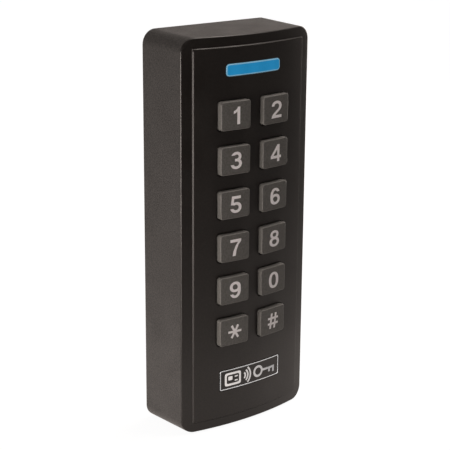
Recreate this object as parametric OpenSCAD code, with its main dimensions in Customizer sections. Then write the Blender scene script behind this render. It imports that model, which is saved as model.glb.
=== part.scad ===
// Wall-mounted keypad access reader: a deep moulded housing with a gently
// curved front, a raised front panel with twelve keys in two columns, a status
// light bar, a small nameplate, and the electronics on one circuit board
// behind them. The reader hooks onto a wall plate and is locked to it by one
// screw from below.
//
// Frame: the wall is the plane y = 0 and the front faces -Y. +X is to the
// right as seen by someone facing the reader, +Z is up. The origin is midway
// between the two wall screws, on the back face of the wall plate.

/* [Housing] */
// Width of the housing at the wall
body_w = 60.4; // [59.5:0.1:62]
// Height of the housing at the wall
body_h = 151.3; // [149.5:0.1:156]
// How much closer each side is at the front edge than at the wall
draft_side = 0.35; // [0.1:0.05:0.5]
// How much closer the top and the bottom are at the front edge
draft_end = 0.65; // [0.1:0.05:0.8]
// Depth of the side walls, from the wall to the front side edge
side_depth = 22.5; // [22.3:0.1:26]
// How far the middle of the front stands out past its side edges
face_bulge = 4.2; // [4.1:0.1:4.8]
// Radius of the two top corners seen from the front
corner_top_r = 5.4; // [4.5:0.1:7]
// Radius of the two bottom corners seen from the front
corner_bottom_r = 5.2; // [3:0.1:6]
// Thickness of the side, top and bottom walls
wall = 2.2; // [2:0.1:2.4]
// Thickness of the front wall at the rim
front_wall = 3.2; // [3:0.1:3.4]

/* [Front panel] */
// Width of the rim left around the panel at the sides
rim_side = 4.2; // [3.9:0.1:4.6]
// Width of the rim left around the panel at the top and bottom
rim_end = 3.8; // [3.7:0.1:4.6]
// How far the panel stands out of the rim
panel_proud = 0.5; // [0.3:0.1:0.7]
// Thickness of the panel below the level of the rim
panel_t = 1.3; // [1.2:0.1:1.4]
// Width of the ledge that carries the edge of the panel
ledge = 3; // [2.5:0.1:3.5]
// Thickness of the foam tape under the edge of the panel
tape_t = 0.3; // [0.2:0.05:0.4]

/* [Keypad] */
// Width of a key cap
key_w = 12.8; // [11.5:0.1:13.2]
// Height of a key cap
key_h = 10.6; // [9:0.1:11]
// Corner radius of a key cap
key_corner_r = 1.1; // [0.8:0.1:2]
// Distance between the two key columns
col_pitch = 18.8; // [18.2:0.1:19]
// Distance between two key rows
row_pitch = 16.5; // [16.2:0.05:16.8]
// Height of the first key row above the origin
row1_z = 46.4; // [45:0.1:47]
// How far a key cap stands out of the panel
key_proud = 1.95; // [1.4:0.05:2.6]
// Gap around a key cap in its opening
key_gap = 0.3; // [0.25:0.05:0.5]
// Travel of a key
key_travel = 1.0; // [0.8:0.1:1.2]

/* [Status light] */
// Width of the light bar
light_w = 25; // [20:0.1:26]
// Height of the light bar
light_h = 4.4; // [3.5:0.1:4.6]
// Height of the light bar's centre above the origin
light_z = 62.6; // [62:0.1:63]

/* [Nameplate] */
// Width of the nameplate
name_w = 29.2; // [20:0.1:30]
// Height of the nameplate
name_h = 8.2; // [6:0.1:9]
// Height of the nameplate's centre (below the origin)
name_z = -56; // [-57:0.1:-55]

/* [Wall plate] */
// Thickness of the wall plate
plate_t = 2.5; // [2.4:0.1:3]
// Distance between the two wall screw holes
wall_screw_pitch = 83.3; // [60:0.1:84]
// Diameter of a wall screw hole
wall_screw_d = 4.2; // [3.5:0.1:4.5]
// Diameter of the cable outlet
cable_d = 12; // [8:0.5:14]

/* [Circuit board] */
// Width of the circuit board
pcb_w = 50; // [49:0.5:50.5]
// Height of the circuit board
pcb_h = 140; // [138:0.5:141]
// Thickness of the circuit board
pcb_t = 1.6; // [1.2:0.2:1.6]

/* [Hidden] */
front_w = body_w - 2 * draft_side;
front_h = body_h - 2 * draft_end;
face_r = (front_w * front_w / 4 + face_bulge * face_bulge) / (2 * face_bulge);
face_cy = face_r - side_depth - face_bulge;
panel_w = front_w - 2 * rim_side;
panel_h = front_h - 2 * rim_end;
r_panel = face_r + panel_proud;
r_panel_back = face_r - panel_t;
r_ledge = r_panel_back - tape_t;
r_inside = face_r - front_wall;
r_key = r_panel + key_proud;
r_flange = r_panel_back - 0.35;
r_flange_back = r_flange - 1.1;
pcb_front = -18.6;
pcb_back = pcb_front + pcb_t;
mat_front = pcb_front - 1.0;
dome_top = mat_front - 2.2;
post_x = 22.6;
post_z = [-58, -6, 46];
lock_y = -7.2;
// Level of the underside at the lock screw
floor_z = -body_h / 2 - draft_end * lock_y / side_depth;
ROWS = [0, 1, 2, 3, 4, 5];
$fn = 64;

// An outline in X and Z, extruded along Y from y0 to y1.
module along_y(y0, y1) translate([0, y1, 0]) rotate([90, 0, 0]) linear_extrude(y1 - y0) children();

// A rectangle with round corners.
module rrect(w, h, r) {
  square([w - 2 * r, h], center = true);
  square([w, h - 2 * r], center = true);
  for (x = [-1, 1], z = [-1, 1]) translate([x * (w / 2 - r), z * (h / 2 - r)]) circle(r);
}

// The outline of the housing at depth y, moved inwards by d.
module outline(d, y = 0) {
  w = body_w / 2 - d + draft_side * y / side_depth;
  h = body_h / 2 - d + draft_end * y / side_depth;
  rt = max(corner_top_r - d, 0.6);
  rb = max(corner_bottom_r - d, 0.6);
  translate([-w, -h + rb]) square([2 * w, 2 * h - rb - rt]);
  translate([-w + rb, -h]) square([2 * (w - rb), rb + 1]);
  translate([-w + rt, h - rt - 1]) square([2 * (w - rt), rt + 1]);
  for (x = [-1, 1]) {
    translate([x * (w - rt), h - rt]) circle(rt);
    translate([x * (w - rb), -h + rb]) circle(rb);
  }
}

// The housing's outline as a tapering block, from the depth y1 forwards.
module drafted(d, y1) hull() for (y = [-34, y1 - 0.01]) along_y(y, y + 0.01) outline(d, y, $fn = 48);

// Everything behind the curved surface of radius r.
module behind(r) translate([0, face_cy, -100]) cylinder(r = r, h = 200, $fn = 360);

// A curved plate between two radii of the front's curvature.
module bent(r_out, r_in) intersection() {
  along_y(-40, -10) children();
  difference() {
    behind(r_out);
    behind(r_in);
  }
}

module at_key(col, row) translate([(col - 0.5) * col_pitch, 0, row1_z - row * row_pitch]) children();
module key_grid() for (c = [0, 1], r = ROWS) translate([(c - 0.5) * col_pitch, row1_z - r * row_pitch]) children();

module front_housing() color("#2e2a29") difference() {
  union() {
    intersection() {
      difference() {
        intersection() {
          drafted(0, 0);
          behind(face_r);
        }
        intersection() {
          drafted(wall, 1);
          behind(r_inside);
        }
      }
      translate([-50, -50, -90]) cube([100, 50, 180]);
    }
    // posts for the circuit board
    intersection() {
      for (x = [-1, 1], z = post_z) translate([x * post_x, pcb_front, z]) rotate([90, 0, 0]) cylinder(r = 2.3, h = 8);
      behind(r_inside + 0.5);
    }
    // pad behind the lock screw's head
    translate([-6, -13, floor_z + wall - 0.5]) cube([12, 10, 2.3]);
  }
  // recess and window for the front panel
  difference() {
    along_y(-45, -15) square([panel_w + 0.1, panel_h + 0.1], center = true);
    behind(r_ledge);
  }
  along_y(-45, -19.5) rrect(panel_w - 2 * ledge, panel_h - 2 * ledge, 2);
  for (x = [-1, 1], z = post_z) translate([x * post_x, pcb_front + 1, z]) rotate([90, 0, 0]) cylinder(r = 1.15, h = 5);
  // lock screw hole and its counterbore
  translate([0, lock_y, floor_z - 1]) cylinder(r = 3.1, h = 3.3);
  translate([0, lock_y, floor_z - 1]) cylinder(r = 1.65, h = 8);
  // pockets for the wall plate's hooks
  for (x = [-1, 1]) translate([x * 15 - 4.3, -5.2, body_h / 2 - wall - 1]) cube([8.6, 2, 2.2]);
}

module front_panel() color("#1f1c1b") difference() {
  union() {
    bent(face_r, r_panel_back) square([panel_w, panel_h], center = true);
    bent(r_panel, face_r - 0.2) square([panel_w - 1, panel_h - 1], center = true);
  }
  along_y(-40, -10) {
    key_grid() rrect(key_w + 2 * key_gap, key_h + 2 * key_gap, key_corner_r + key_gap);
    translate([0, light_z]) rrect(light_w + 0.1, light_h + 0.1, 1.3);
  }
  // shallow seat for the nameplate
  difference() {
    along_y(-40, -10) translate([0, name_z]) rrect(name_w + 0.1, name_h + 0.1, 0.5);
    behind(r_panel - 0.55);
  }
}

module panel_tape() color("#4a4a4a") bent(r_panel_back - 0.01, r_ledge + 0.01) difference() {
  square([panel_w - 0.4, panel_h - 0.4], center = true);
  rrect(panel_w - 2 * ledge + 0.6, panel_h - 2 * ledge + 0.6, 2);
}

module status_lens() color("#2a8fc8") union() {
  bent(r_panel + 0.05, r_panel_back - 0.2) translate([0, light_z]) rrect(light_w, light_h, 1.25);
  bent(r_panel_back - 0.1, r_panel_back - 1.1) translate([0, light_z]) rrect(light_w + 2.4, light_h + 1.6, 1.6);
}

module light_guide() color("#e8f1f5") intersection() {
  union() {
    along_y(-30, -22) translate([0, light_z]) rrect(light_w - 1, light_h - 0.8, 1);
    along_y(-22.01, -20.7) translate([0, light_z]) rrect(light_w - 4, light_h - 0.8, 1);
  }
  behind(r_panel_back - 1.2);
}

module status_leds() for (x = [-8, 0, 8]) translate([x, pcb_front, light_z]) {
  color("white") along_y(-1.1, 0) difference() {
    square([3.2, 2.8], center = true);
    circle(1.1);
  }
  color("#f4e9a8") along_y(-1.0, -0.02) circle(1.08);
}

module nameplate() color("#151515") bent(r_panel + 0.1, r_panel - 0.5) translate([0, name_z]) rrect(name_w, name_h, 0.45);

// A key: cap, retaining flange behind the panel, and the plunger that pushes
// its dome. col and row are counted from the top left.
module key(col, row) color("#4b4645") {
  x = (col - 0.5) * col_pitch;
  z = row1_z - row * row_pitch;
  bent(r_key, r_flange - 0.2) translate([x, z]) rrect(key_w, key_h, key_corner_r);
  bent(r_flange, r_flange_back) translate([x, z]) rrect(key_w + 2.2, key_h + 2.2, key_corner_r + 0.6);
  translate([x, dome_top - 0.2, z]) rotate([90, 0, 0]) cylinder(r = 2.2, h = 4.4);
}

module dome_mat() color("#d8d8d2") union() {
  along_y(mat_front, pcb_front) difference() {
    rrect(34, 102, 2.5);
    key_grid() circle(3.2);
    for (r = ROWS) translate([0, row1_z - r * row_pitch]) rrect(3, 2.2, 0.4);
    for (x = [-1, 1], r = [0, 2, 4]) translate([x * 15.4, row1_z - (r + 0.5) * row_pitch]) circle(0.8);
  }
  for (c = [0, 1], r = ROWS) at_key(c, r) difference() {
    union() {
      translate([0, mat_front + 0.2, 0]) rotate([90, 0, 0]) cylinder(r1 = 4.3, r2 = 2.9, h = 1.7);
      translate([0, dome_top + 1.2, 0]) rotate([90, 0, 0]) cylinder(r = 2.6, h = 1.2);
    }
    translate([0, mat_front + 0.5, 0]) rotate([90, 0, 0]) cylinder(r1 = 3.8, r2 = 2.3, h = 1.6);
  }
}

module key_leds() color("#f2efe2") for (r = ROWS) translate([0, pcb_front, row1_z - r * row_pitch]) {
  along_y(-0.35, 0) square([2.0, 1.2], center = true);
  along_y(-0.7, -0.34) square([1.2, 1.2], center = true);
}

module main_board() color("#1d5a3a") along_y(pcb_front, pcb_back) difference() {
  rrect(pcb_w, pcb_h, 2);
  for (x = [-1, 1], z = post_z) translate([x * post_x, z]) circle(1.3);
  for (x = [-1, 1], r = [0, 2, 4]) translate([x * 15.4, row1_z - (r + 0.5) * row_pitch]) circle(0.8);
}

// Pan-head screw of the circuit board, driven from the back.
module board_screw() difference() {
  union() {
    rotate([90, 0, 0]) cylinder(r = 1.1, h = 5.4);
    rotate([-90, 0, 0]) cylinder(r = 1.9, h = 0.9);
    rotate([-90, 0, 0]) translate([0, 0, 0.89]) cylinder(r1 = 1.9, r2 = 1.2, h = 0.5);
  }
  for (a = [0, 90]) rotate([0, a, 0]) translate([-1.1, 0.6, -0.22]) cube([2.2, 2, 0.44]);
}
module board_screws() color("#b9bcc0") for (x = [-1, 1], z = post_z) translate([x * post_x, pcb_back + 0.01, z]) board_screw();

module antenna_coil() color("#b4652a") along_y(pcb_front - 1.8, pcb_front - 0.02) difference() {
  rrect(39.4, 137, 5);
  rrect(35.6, 133.2, 3.2);
}

// A flat chip package with legs along two or four sides, on the back of the
// board. n legs a side, pitch p.
module chip(w, h, t, n, p, four) {
  along_y(pcb_back + 0.12, pcb_back + t) difference() {
    square([w, h], center = true);
    translate([-w / 2 + 1, h / 2 - 1]) circle(0.35);
  }
  for (a = four ? [0, 90, 180, 270] : [0, 180]) rotate([0, a, 0]) for (i = [0:n - 1]) {
    u = (i - (n - 1) / 2) * p;
    l = (a % 180 == 0 ? w : h) / 2;
    translate([l - 0.2, pcb_back + 0.02, u - p * 0.2]) cube([1.1, 0.2, p * 0.4]);
  }
}
module microcontroller() color("#222325") translate([0, 0, 22]) chip(10, 10, 1.4, 11, 0.8, true);
module radio_chip() color("#222325") translate([-8, 0, 50]) chip(7.5, 10.2, 2.2, 8, 1.27, false);
module line_driver() color("#222325") translate([-12, 0, -26]) chip(4, 5, 1.6, 4, 1.27, false);

module crystal() color("#c4c7c9") translate([12.5, pcb_back, 22]) {
  along_y(0.01, 0.5) rrect(4.6, 11.4, 2.2);
  along_y(0.49, 3.4) rrect(3.8, 10.4, 1.85);
}

module voltage_regulator() translate([14, pcb_back, -24]) {
  color("#222325") along_y(0.1, 1.7) square([6.5, 3.5], center = true);
  color("#b9bcc0") {
    translate([-1.5, 0.02, -3.4]) cube([3, 0.3, 1.75]);
    for (i = [-1, 0, 1]) translate([i * 2.3 - 0.35, 0.02, 1.65]) cube([0.7, 0.3, 1.75]);
  }
}

module power_inductor() color("#303236") translate([1, pcb_back, -26]) {
  along_y(0.02, 0.8) rrect(7.2, 7.2, 1.4);
  rotate([-90, 0, 0]) translate([0, 0, 0.79]) cylinder(r = 2.2, h = 2.2);
  rotate([-90, 0, 0]) translate([0, 0, 2.98]) cylinder(r = 3.3, h = 1);
}

module can(d, h) {
  color("#202020") along_y(0.02, 1.2) square([d + 0.3, d + 0.3], center = true);
  color("#c9cccf") rotate([-90, 0, 0]) translate([0, 0, 1.19]) cylinder(r = d / 2, h = h - 1.2);
}
module capacitors() {
  translate([-14, pcb_back, -6]) can(8, 9.5);
  translate([11, pcb_back, -10]) can(6.3, 7.2);
  translate([-15, pcb_back, 33]) can(5, 5.6);
}

module chip_resistors() color("#2a2a2c") for (p = [[-9, 16], [-9, 19], [-9, 25], [-9, 28], [9, 33], [12, 33], [15, 33], [4, 40], [4, 43], [4, 46], [-4, -14], [-1, -14], [2, -14], [-16, -17], [-16, -20]])
  translate([p[0], pcb_back, p[1]]) along_y(0.01, 0.5) square([1.9, 1.2], center = true);

module buzzer() color("#1a1a1b") translate([11, pcb_back, 54]) rotate([-90, 0, 0]) difference() {
  translate([0, 0, 0.02]) cylinder(r = 6, h = 8.4);
  translate([0, 0, 7]) cylinder(r = 1, h = 3);
  translate([0, 0, 7.9]) difference() {
    cylinder(r = 5.2, h = 1);
    translate([0, 0, -1]) cylinder(r = 4.4, h = 3);
  }
}

module tamper_sensor() translate([14, 0, 5]) {
  color("#202020") along_y(pcb_back + 0.02, pcb_back + 2.6) square([4.4, 5.2], center = true);
  color("#7a1520") for (z = [-1.2, 1.2]) translate([0, pcb_back + 2.59, z]) rotate([-90, 0, 0]) cylinder(r = 0.8, h = 0.5);
}

module terminal_block() color("#2f7a4b") translate([0, 0, -46]) difference() {
  translate([-15, pcb_back + 0.02, -5]) cube([30, 8.6, 10]);
  for (i = [0:7]) translate([(i - 3.5) * 3.5, 0, 0]) {
    translate([0, pcb_back + 4.2, 4]) cylinder(r = 1.25, h = 3);
    translate([0, pcb_back + 4.2, 1.6]) cylinder(r = 1.0, h = 4);
    translate([0, pcb_back + 7.4, -1.2]) rotate([-90, 0, 0]) cylinder(r = 1.45, h = 3);
  }
}
module terminal_screws() color("#c4c7c9") for (i = [0:7]) translate([(i - 3.5) * 3.5, pcb_back + 7.42, -47.2]) rotate([-90, 0, 0]) difference() {
  cylinder(r = 1.3, h = 0.9);
  translate([-2, -0.2, 0.5]) cube([4, 0.4, 1]);
}

module wall_plate() color("#35312f") difference() {
  union() {
    along_y(-plate_t, 0) outline(wall + 0.25);
    // hooks along the top edge
    for (x = [-1, 1]) {
      translate([x * 15 - 4, -4.9, body_h / 2 - wall - 3]) cube([8, 3, 2.5]);
      translate([x * 15 - 4, -4.9, body_h / 2 - wall - 1]) cube([8, 1.4, 1.9]);
    }
    // lug for the lock screw
    translate([-5, -11.2, floor_z + 4.4]) cube([10, 11.2, 7.4]);
    // stiffening ribs
    for (x = [-1, 1]) translate([x * 19 - 0.7, -4.6, -60]) cube([1.4, 3, 120]);
    for (z = [-56, 56]) translate([-19, -4.6, z - 0.7]) cube([38, 3, 1.4]);
  }
  for (z = [-1, 1]) translate([0, 0, z * wall_screw_pitch / 2]) {
    translate([0, 1, 0]) rotate([90, 0, 0]) cylinder(r = wall_screw_d / 2, h = 8);
  }
  translate([0, 1, 0]) rotate([90, 0, 0]) cylinder(r = cable_d / 2, h = 8);
  translate([0, lock_y, floor_z]) cylinder(r = 1.5, h = 10.6);
}

module lock_screw() color("#b9bcc0") translate([0, lock_y, 0]) difference() {
  union() {
    translate([0, 0, floor_z + 0.25]) cylinder(r = 2.75, h = 2);
    translate([0, 0, floor_z + 2.2]) cylinder(r = 1.45, h = 8);
  }
  translate([0, 0, floor_z]) cylinder(r = 1.1, h = 1.5, $fn = 6);
}

front_housing();
front_panel();
panel_tape();
status_lens();
light_guide();
status_leds();
nameplate();
key(0, 0);  // key_1
key(1, 0);  // key_2
key(0, 1);  // key_3
key(1, 1);  // key_4
key(0, 2);  // key_5
key(1, 2);  // key_6
key(0, 3);  // key_7
key(1, 3);  // key_8
key(0, 4);  // key_9
key(1, 4);  // key_0
key(0, 5);  // key_star
key(1, 5);  // key_hash
dome_mat();
key_leds();
main_board();
board_screws();
antenna_coil();
microcontroller();
radio_chip();
line_driver();
crystal();
voltage_regulator();
power_inductor();
capacitors();
chip_resistors();
buzzer();
tamper_sensor();
terminal_block();
terminal_screws();
wall_plate();
lock_screw();
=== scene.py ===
import math

import bmesh
import bpy
import numpy as np
from mathutils import Matrix, Vector
from mathutils.geometry import delaunay_2d_cdt


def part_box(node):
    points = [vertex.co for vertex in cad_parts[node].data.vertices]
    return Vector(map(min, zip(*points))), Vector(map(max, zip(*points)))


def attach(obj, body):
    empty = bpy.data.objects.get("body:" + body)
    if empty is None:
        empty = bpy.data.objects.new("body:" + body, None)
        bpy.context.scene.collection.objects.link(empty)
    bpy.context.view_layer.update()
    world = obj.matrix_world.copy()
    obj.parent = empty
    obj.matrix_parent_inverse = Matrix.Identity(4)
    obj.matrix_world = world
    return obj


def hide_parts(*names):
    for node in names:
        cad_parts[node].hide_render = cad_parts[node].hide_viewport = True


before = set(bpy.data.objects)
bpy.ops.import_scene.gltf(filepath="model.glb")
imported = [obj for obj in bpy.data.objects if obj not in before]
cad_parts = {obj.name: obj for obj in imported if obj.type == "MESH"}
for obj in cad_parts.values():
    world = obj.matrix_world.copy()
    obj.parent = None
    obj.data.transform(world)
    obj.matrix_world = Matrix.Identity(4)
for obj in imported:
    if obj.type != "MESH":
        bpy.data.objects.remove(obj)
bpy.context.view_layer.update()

MM = 0.001


# ---------------------------------------------------------------- dimensions
# Millimetres, in the row frame: the wall is y = 0, the front faces -Y.
def box_mm(node):
    lo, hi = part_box(node)
    return lo * 1000, hi * 1000


H_LO, H_HI = box_mm("front_housing")
HX = (H_HI.x - H_LO.x) / 2
HZ = (H_HI.z - H_LO.z) / 2
APEX = -H_LO.y
P_LO, P_HI = box_mm("front_panel")
PX = (P_HI.x - P_LO.x) / 2
PZ = (P_HI.z - P_LO.z) / 2
PROUD = -P_LO.y - APEX
BULGE = 4.2
SIDE = APEX - BULGE
DRAFT_S, DRAFT_E = 0.35, 0.65
FX, FZ = HX - DRAFT_S, HZ - DRAFT_E
FACE_R = (FX * FX + BULGE * BULGE) / (2 * BULGE)
FACE_CY = FACE_R - APEX
PANEL_T = 1.3
WALL = 2.2
R_TOP, R_BOT = 5.4, 5.2
LOCK_Y = sum(c.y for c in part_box("lock_screw")) * 500
KEYS = ["1", "2", "3", "4", "5", "6", "7", "8", "9", "0", "star", "hash"]


def surf(x, off=0.0):
    """Depth of the curved surface that lies off in front of the rim's."""
    return FACE_CY - np.sqrt((FACE_R + off) ** 2 - np.asarray(x, float) ** 2)


# ---------------------------------------------------------------- mesh tools
class Mesh:
    """Collects rings of points in millimetres and joins them into one mesh."""

    def __init__(self):
        self.v, self.f, self.m = [], [], []

    def ring(self, pts):
        start = len(self.v)
        self.v += [tuple(map(float, p)) for p in pts]
        return list(range(start, len(self.v)))

    def bridge(self, a, b, mat=0, skip=()):
        n = len(a)
        for i in range(n):
            if i in skip:
                continue
            j = (i + 1) % n
            self.f.append((a[i], a[j], b[j], b[i]))
            self.m.append(mat)

    def cap(self, a, mat=0):
        self.f.append(tuple(a))
        self.m.append(mat)

    def fan(self, a, centre, mat=0):
        c = len(self.v)
        self.v.append(tuple(map(float, centre)))
        n = len(a)
        for i in range(n):
            self.f.append((a[i], a[(i + 1) % n], c))
            self.m.append(mat)

    def grid(self, rows, mat=0):
        for r in range(len(rows) - 1):
            a, b = rows[r], rows[r + 1]
            for i in range(len(a) - 1):
                self.f.append((a[i], a[i + 1], b[i + 1], b[i]))
                self.m.append(mat)

    def build(self, name, materials, weld=2e-3, smooth=True, weighted=True, sharp=None):
        me = bpy.data.meshes.new(name)
        me.from_pydata([[c * MM for c in p] for p in self.v], [], self.f)
        for k in materials:
            me.materials.append(k)
        me.polygons.foreach_set("material_index", self.m)
        bm = bmesh.new()
        bm.from_mesh(me)
        bmesh.ops.remove_doubles(bm, verts=bm.verts, dist=weld * MM)
        bmesh.ops.dissolve_degenerate(bm, edges=bm.edges, dist=weld * MM * 0.5)
        bmesh.ops.recalc_face_normals(bm, faces=bm.faces)
        for f in bm.faces:
            f.smooth = smooth
        if sharp is not None:
            for e in bm.edges:
                if len(e.link_faces) == 2 and e.calc_face_angle(0) > math.radians(sharp):
                    e.smooth = False
        bm.to_mesh(me)
        bm.free()
        me.update()
        o = bpy.data.objects.new(name, me)
        bpy.context.scene.collection.objects.link(o)
        if weighted:
            w = o.modifiers.new("even_shading", "WEIGHTED_NORMAL")
            w.keep_sharp = True
            w.weight = 60
        return o


def rr_loop(cx, cz, a, b, r, tx, tz, k=3):
    """A rounded rectangle as a loop of points, counter-clockwise from the lower left, whose count follows the
    lists tx and tz of positions from -1 to 1 along X and Z. k segments at each end of a side make half a corner."""
    out = []
    sides = (
        (tx, (1, 0), (0, -1), a, b),
        (tz, (0, 1), (1, 0), b, a),
        (tx, (-1, 0), (0, 1), a, b),
        (tz, (0, -1), (-1, 0), b, a),
    )
    for t, along, away, half, dist in sides:
        n = len(t) - 1
        s = half - r
        for i in range(n):
            if r <= 1e-6:
                u, w = half * t[i], dist
            elif i < k:
                ang = math.radians(45 + 45 * i / k)
                u, w = -s - r * math.cos(ang), dist - r + r * math.sin(ang)
            elif i > n - k:
                ang = math.radians(90 - 45 * (i - (n - k)) / k)
                u, w = s + r * math.cos(ang), dist - r + r * math.sin(ang)
            else:
                t0, t1 = t[k], t[n - k]
                q = (t[i] - t0) / (t1 - t0) if t1 > t0 else 0
                u, w = -s + 2 * s * q, dist
            out.append((cx + along[0] * u + away[0] * w, cz + along[1] * u + away[1] * w))
    return np.array(out)


def even(n):
    return list(np.linspace(-1, 1, n + 1))


def lift(loop, depth):
    """Points of a 2D loop in X and Z at a depth, which is a number or a function of x."""
    loop = np.asarray(loop, float)
    y = depth(loop[:, 0]) if callable(depth) else np.full(len(loop), float(depth))
    return np.stack([loop[:, 0], y, loop[:, 1]], 1)


def at(off):
    return lambda x: surf(x, off)


# ---------------------------------------------------------------- materials
def node_material(name):
    m = bpy.data.materials.new(name)
    m.use_nodes = True
    nt = m.node_tree
    nt.nodes.clear()
    out = nt.nodes.new("ShaderNodeOutputMaterial")
    b = nt.nodes.new("ShaderNodeBsdfPrincipled")
    nt.links.new(b.outputs[0], out.inputs[0])
    return m, nt, b


def coords(nt):
    return nt.nodes.new("ShaderNodeTexCoord").outputs["Object"]


def noise(nt, vec, scale, detail=2.0, rough=0.5, name=None):
    n = nt.nodes.new("ShaderNodeTexNoise")
    n.inputs["Scale"].default_value = scale
    n.inputs["Detail"].default_value = detail
    n.inputs["Roughness"].default_value = rough
    nt.links.new(vec, n.inputs["Vector"])
    return n.outputs["Fac"]


def ramp(nt, fac, stops):
    r = nt.nodes.new("ShaderNodeValToRGB")
    els = r.color_ramp.elements
    while len(els) < len(stops):
        els.new(0.5)
    for e, (p, c) in zip(els, stops):
        e.position = p
        e.color = (*c, 1) if len(c) == 3 else c
    nt.links.new(fac, r.inputs["Fac"])
    return r.outputs["Color"]


def remap(nt, fac, lo, hi, a=0.0, b=1.0):
    m = nt.nodes.new("ShaderNodeMapRange")
    m.inputs["From Min"].default_value = a
    m.inputs["From Max"].default_value = b
    m.inputs["To Min"].default_value = lo
    m.inputs["To Max"].default_value = hi
    nt.links.new(fac, m.inputs["Value"])
    return m.outputs["Result"]


def bump(nt, heights, bsdf):
    """Chains bumps: each entry is (height socket, distance in metres, strength)."""
    last = None
    for h, dist, strength in heights:
        b = nt.nodes.new("ShaderNodeBump")
        b.inputs["Distance"].default_value = dist
        b.inputs["Strength"].default_value = strength
        nt.links.new(h, b.inputs["Height"])
        if last is not None:
            nt.links.new(last, b.inputs["Normal"])
        last = b.outputs["Normal"]
    nt.links.new(last, bsdf.inputs["Normal"])


def textured_plastic(name, dark, light, rough, grain=5200.0, depth=1.2e-5, blotch=1900.0, spec=0.5, strength=0.5, span=0.10):
    """Moulded plastic with a spark-eroded texture: fine grain, slightly uneven gloss and tone."""
    m, nt, b = node_material(name)
    v = coords(nt)
    fine = noise(nt, v, grain, 3.0, 0.6)
    mid = noise(nt, v, blotch, 3.0, 0.5)
    wide = noise(nt, v, blotch * 0.05, 2.0, 0.5)
    mix = nt.nodes.new("ShaderNodeMath")
    mix.operation = "MULTIPLY_ADD"
    mix.inputs[1].default_value = 0.2
    nt.links.new(fine, mix.inputs[0])
    most = nt.nodes.new("ShaderNodeMath")
    most.operation = "MULTIPLY"
    most.inputs[1].default_value = 0.8
    nt.links.new(mid, most.inputs[0])
    nt.links.new(most.outputs[0], mix.inputs[2])
    nt.links.new(ramp(nt, mix.outputs[0], [(0.5 - span, dark), (0.5 + span, light)]), b.inputs["Base Color"])
    nt.links.new(remap(nt, wide, rough - 0.04, rough + 0.05, 0.3, 0.7), b.inputs["Roughness"])
    b.inputs["Specular IOR Level"].default_value = spec
    bump(nt, [(mid, depth * 2.0, strength * 0.7), (fine, depth, strength)], b)
    return m


def chrome_painted_falloff(name, bright, dull, x0, x1, rough):
    """Bright foil print with a painted highlight: its colour runs from bright at the left to dull at the right, painted
    shine falling off across the plate.
    """
    m, nt, b = node_material(name)
    v = coords(nt)
    sep = nt.nodes.new("ShaderNodeSeparateXYZ")
    nt.links.new(v, sep.inputs[0])
    n = noise(nt, v, 1400.0, 3.0, 0.6)
    soft = nt.nodes.new("ShaderNodeMath")
    soft.operation = "MULTIPLY_ADD"
    soft.inputs[1].default_value = 0.004
    nt.links.new(n, soft.inputs[0])
    nt.links.new(sep.outputs[0], soft.inputs[2])
    # painted highlight: the metal colour is set by x, bright at the left and dull at the right
    nt.links.new(ramp(nt, remap(nt, soft.outputs[0], 0, 1, x0, x1), [(0.0, bright), (1.0, dull)]), b.inputs["Base Color"])
    nt.links.new(remap(nt, n, rough - 0.04, rough + 0.06, 0.3, 0.7), b.inputs["Roughness"])
    b.inputs["Metallic"].default_value = 1.0
    bump(nt, [(n, 2e-6, 0.3)], b)
    return m


def metal(name, colour, rough, grain=900.0, streak=(1, 1, 12), depth=4e-6):
    m, nt, b = node_material(name)
    mp = nt.nodes.new("ShaderNodeMapping")
    mp.inputs["Scale"].default_value = streak
    nt.links.new(coords(nt), mp.inputs["Vector"])
    n = noise(nt, mp.outputs[0], grain, 3.0, 0.6)
    dark = tuple(c * 0.82 for c in colour)
    nt.links.new(ramp(nt, n, [(0.3, dark), (0.7, colour)]), b.inputs["Base Color"])
    nt.links.new(remap(nt, n, rough - 0.06, rough + 0.08, 0.3, 0.7), b.inputs["Roughness"])
    b.inputs["Metallic"].default_value = 1.0
    bump(nt, [(n, depth, 0.4)], b)
    return m


def printed_ink(name, colour):
    """Pale legend ink: slightly mottled, with a dry, even surface."""
    m, nt, b = node_material(name)
    v = coords(nt)
    n = noise(nt, v, 2600.0, 4.0, 0.6)
    dark = tuple(c * 0.86 for c in colour)
    nt.links.new(ramp(nt, n, [(0.3, dark), (0.7, colour)]), b.inputs["Base Color"])
    nt.links.new(remap(nt, n, 0.45, 0.6, 0.3, 0.7), b.inputs["Roughness"])
    b.inputs["Specular IOR Level"].default_value = 0.35
    bump(nt, [(noise(nt, v, 6000.0, 2.0), 5e-6, 0.4)], b)
    return m


def light_window(name, low, high, strength):
    """Translucent light bar: lit from behind by three lamps, so a little brighter over each."""
    m, nt, b = node_material(name)
    v = coords(nt)
    sep = nt.nodes.new("ShaderNodeSeparateXYZ")
    nt.links.new(v, sep.inputs[0])
    wave = nt.nodes.new("ShaderNodeMath")
    wave.operation = "MULTIPLY"
    wave.inputs[1].default_value = 2 * math.pi / 0.0085
    nt.links.new(sep.outputs[0], wave.inputs[0])
    cos = nt.nodes.new("ShaderNodeMath")
    cos.operation = "COSINE"
    nt.links.new(wave.outputs[0], cos.inputs[0])
    grain = noise(nt, v, 2600.0, 2.0, 0.5)
    add = nt.nodes.new("ShaderNodeMath")
    add.operation = "MULTIPLY_ADD"
    add.inputs[1].default_value = 0.16
    nt.links.new(cos.outputs[0], add.inputs[0])
    nt.links.new(grain, add.inputs[2])
    col = ramp(nt, add.outputs[0], [(0.2, low), (0.8, high)])
    nt.links.new(col, b.inputs["Emission Color"])
    b.inputs["Emission Strength"].default_value = strength
    nt.links.new(col, b.inputs["Base Color"])
    b.inputs["Roughness"].default_value = 0.32
    b.inputs["Specular IOR Level"].default_value = 0.35
    bump(nt, [(grain, 4e-6, 0.3)], b)
    return m


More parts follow.
